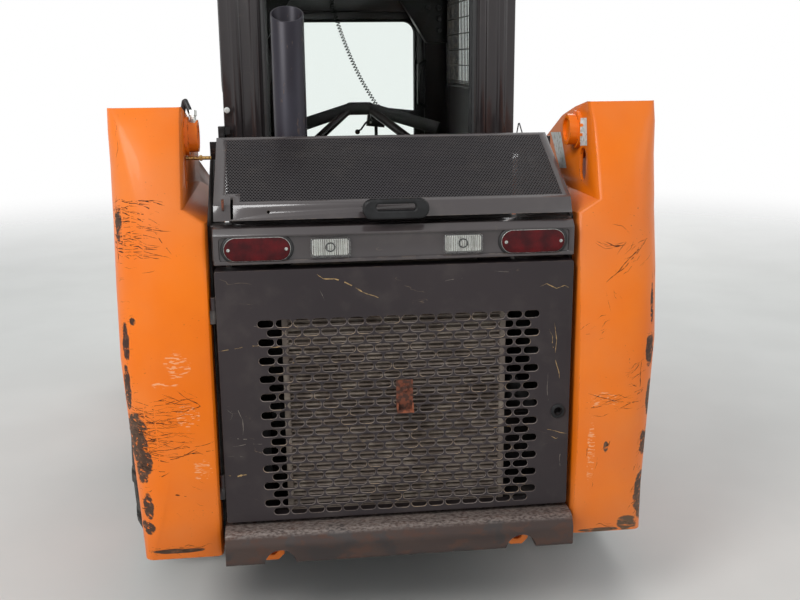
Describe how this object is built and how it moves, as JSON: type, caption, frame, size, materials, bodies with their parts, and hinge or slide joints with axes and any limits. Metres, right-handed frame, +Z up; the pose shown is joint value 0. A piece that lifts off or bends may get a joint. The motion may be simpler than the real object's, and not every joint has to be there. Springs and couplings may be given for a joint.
{
  "type": "skid steer loader",
  "caption": "Compact wheeled loader with rear engine, glazed cab, lift arms pivoting on rear towers and a dirt bucket on a quick-attach coupler.",
  "frame": {"origin": "on the ground, under the middle of the whole machine's box", "axes": "+Y is the machine's forward direction, +X its right, +Z up"},
  "size_m": [1.63, 3.45, 1.99],
  "materials": {
    "frame_paint": "satin dark grey paint with dust",
    "orange_paint": "gloss orange paint, scratched and rubbed to rust",
    "dark_panel_paint": "satin dark brown-grey paint with scratches",
    "cast_bumper": "rusty casting with a worn bright edge",
    "axle_steel": "oily steel",
    "red_lens": "ribbed red lens",
    "clear_lens": "clear ribbed lens",
    "black_plastic": "moulded black plastic",
    "stack_steel": "heat-stained black steel",
    "engine_iron": "grimy casting",
    "radiator_core": "dusty fins",
    "cab_paint": "satin dark paint",
    "window_glass": "clear",
    "wiper_black": "satin black",
    "cord_black": "black cable",
    "seat_vinyl": "black vinyl",
    "restraint_foam": "black foam sleeve",
    "cylinder_paint": "satin black paint",
    "chrome_rod": "hard chrome",
    "coupler_paint": "worn black paint",
    "bucket_steel": "black paint worn to steel",
    "edge_steel": "scoured steel",
    "tyre_rubber": "black rubber with dust",
    "rim_paint": "off-white paint"
  },
  "bodies": {
    "chassis": {"chassis_frame": "frame_paint", "tower_right": "orange_paint", "tower_left": "orange_paint", "rear_bumper": "cast_bumper", "tie_down_lugs": "orange_paint", "axle_stubs": "axle_steel", "light_bar": "dark_panel_paint", "stop_lamps": "red_lens", "clear_lamps": "clear_lens", "exhaust_stack": "stack_steel", "engine_block": "engine_iron", "radiator": "radiator_core", "cab_rear_wall": "cab_paint", "cab_sides": "cab_paint", "cab_front_frame": "cab_paint", "cab_roof": "cab_paint", "cab_windows": "window_glass", "wiper_cord": "cord_black", "seat_base": "frame_paint", "seat_cushions": "seat_vinyl", "control_levers": "black_plastic", "instrument_panels": "black_plastic"},
    "rear_door": {"rear_door": "dark_panel_paint"},
    "engine_hood": {"engine_hood": "dark_panel_paint", "hood_handle": "black_plastic"},
    "front_door": {"front_door": "cab_paint", "front_door_glass": "window_glass", "wiper_motor": "black_plastic"},
    "wiper_arm": {"wiper_arm": "wiper_black"},
    "restraint_bar": {"restraint_bar": "restraint_foam"},
    "lift_arms": {"lift_arms": "orange_paint"},
    "lift_barrels": {"lift_barrels": "cylinder_paint"},
    "lift_rods": {"lift_rods": "chrome_rod"},
    "bucket_and_coupler": {"coupler": "coupler_paint", "bucket": "bucket_steel", "cutting_edge": "edge_steel"},
    "tilt_barrels": {"tilt_barrels": "cylinder_paint"},
    "tilt_rods": {"tilt_rods": "chrome_rod"},
    "wheel_front_right": {"tyre_front_right": "tyre_rubber", "rim_front_right": "rim_paint"},
    "wheel_front_left": {"tyre_front_left": "tyre_rubber", "rim_front_left": "rim_paint"},
    "wheel_rear_right": {"tyre_rear_right": "tyre_rubber", "rim_rear_right": "rim_paint"},
    "wheel_rear_left": {"tyre_rear_left": "tyre_rubber", "rim_rear_left": "rim_paint"}
  },
  "joints": [
    {"name": "wheel_front_right_spin", "type": "hinge", "parent": "chassis", "child": "wheel_front_right", "pos_m": [0.64, 0.195, 0.39], "axis": [1, 0, 0], "continuous": true},
    {"name": "wheel_front_left_spin", "type": "hinge", "parent": "chassis", "child": "wheel_front_left", "pos_m": [-0.64, 0.195, 0.39], "axis": [1, 0, 0], "continuous": true},
    {"name": "wheel_rear_right_spin", "type": "hinge", "parent": "chassis", "child": "wheel_rear_right", "pos_m": [0.64, -0.905, 0.39], "axis": [1, 0, 0], "continuous": true},
    {"name": "wheel_rear_left_spin", "type": "hinge", "parent": "chassis", "child": "wheel_rear_left", "pos_m": [-0.64, -0.905, 0.39], "axis": [1, 0, 0], "continuous": true},
    {"name": "rear_door_swing", "type": "hinge", "parent": "chassis", "child": "rear_door", "pos_m": [-0.4695, -1.663, 0.742], "axis": [0, 0, -1], "range_deg": [0, 90]},
    {"name": "engine_hood_lift", "type": "hinge", "parent": "chassis", "child": "engine_hood", "pos_m": [0, -1.361, 1.381], "axis": [-1, 0, 0], "range_deg": [0, 75]},
    {"name": "front_door_swing", "type": "hinge", "parent": "chassis", "child": "front_door", "pos_m": [-0.366, 0.205, 1.2], "axis": [0, 0, 1], "range_deg": [0, 90]},
    {"name": "wiper_sweep", "type": "hinge", "parent": "front_door", "child": "wiper_arm", "pos_m": [0.13, 0.217, 1.362], "axis": [0, 1, 0], "range_deg": [0, 80]},
    {"name": "restraint_lower", "type": "hinge", "parent": "chassis", "child": "restraint_bar", "pos_m": [0, -0.76, 1.24], "axis": [-1, 0, 0], "range_deg": [0, 62]},
    {"name": "lift_arm_raise", "type": "hinge", "parent": "chassis", "child": "lift_arms", "pos_m": [0, -1.425, 1.404], "axis": [1, 0, 0], "range_deg": [0, 60]},
    {"name": "lift_barrel_turn", "type": "hinge", "parent": "chassis", "child": "lift_barrels", "pos_m": [0, -1.475, 0.64], "axis": [1, 0, 0], "range_deg": [0, 31.18]},
    {"name": "lift_rod_slide", "type": "slide", "parent": "lift_barrels", "child": "lift_rods", "axis": [0, 0.8462, 0.5328], "range_m": [0, 0.49244]},
    {"name": "bucket_tilt", "type": "hinge", "parent": "lift_arms", "child": "bucket_and_coupler", "pos_m": [0, 0.855, 0.215], "axis": [1, 0, 0], "range_deg": [-100, 28]},
    {"name": "tilt_barrel_turn", "type": "hinge", "parent": "lift_arms", "child": "tilt_barrels", "pos_m": [0, 0.415, 0.95], "axis": [1, 0, 0], "range_deg": [-0.31, 1.03]},
    {"name": "tilt_rod_slide", "type": "slide", "parent": "tilt_barrels", "child": "tilt_rods", "axis": [0, 0.6367, -0.7711], "range_m": [-0.06403, 0.22739]}
  ],
  "couplings": [
    {"joint": "lift_barrel_turn", "follows": "lift_arm_raise", "ratio": 0.51925},
    {"joint": "lift_rod_slide", "follows": "lift_arm_raise", "m_per_rad": 0.46977},
    {"joint": "tilt_barrel_turn", "follows": "bucket_tilt", "ratio": -0.01},
    {"joint": "tilt_rod_slide", "follows": "bucket_tilt", "m_per_rad": -0.13}
  ]
}
